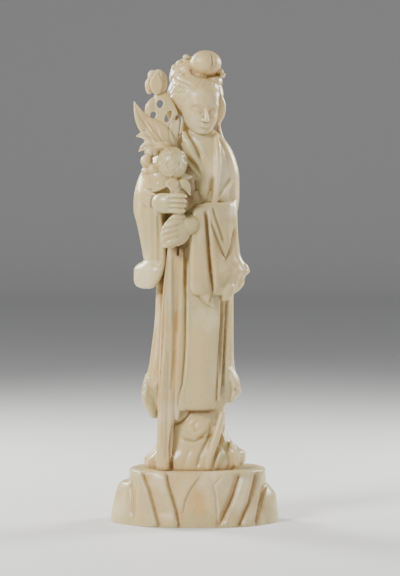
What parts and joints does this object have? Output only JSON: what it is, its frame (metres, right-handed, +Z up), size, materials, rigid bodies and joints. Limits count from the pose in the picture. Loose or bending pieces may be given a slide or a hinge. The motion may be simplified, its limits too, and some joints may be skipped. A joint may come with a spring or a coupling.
{
  "type": "resin figurine",
  "caption": "Standing robed lady holding a spray of peonies, cast in one piece with an oval rock base.",
  "frame": {"origin": "middle of the base's underside", "axes": "+Z up through the figure, -Y out of its front, +X to the right as seen from the front"},
  "size_m": [0.09, 0.06, 0.25],
  "materials": {
    "resin": "pale ivory cast resin, translucent and polished like stone, with faint orange-brown veins and brown dirt in the deepest folds"
  },
  "bodies": {
    "root": {"figurine": "resin"}
  },
  "joints": []
}
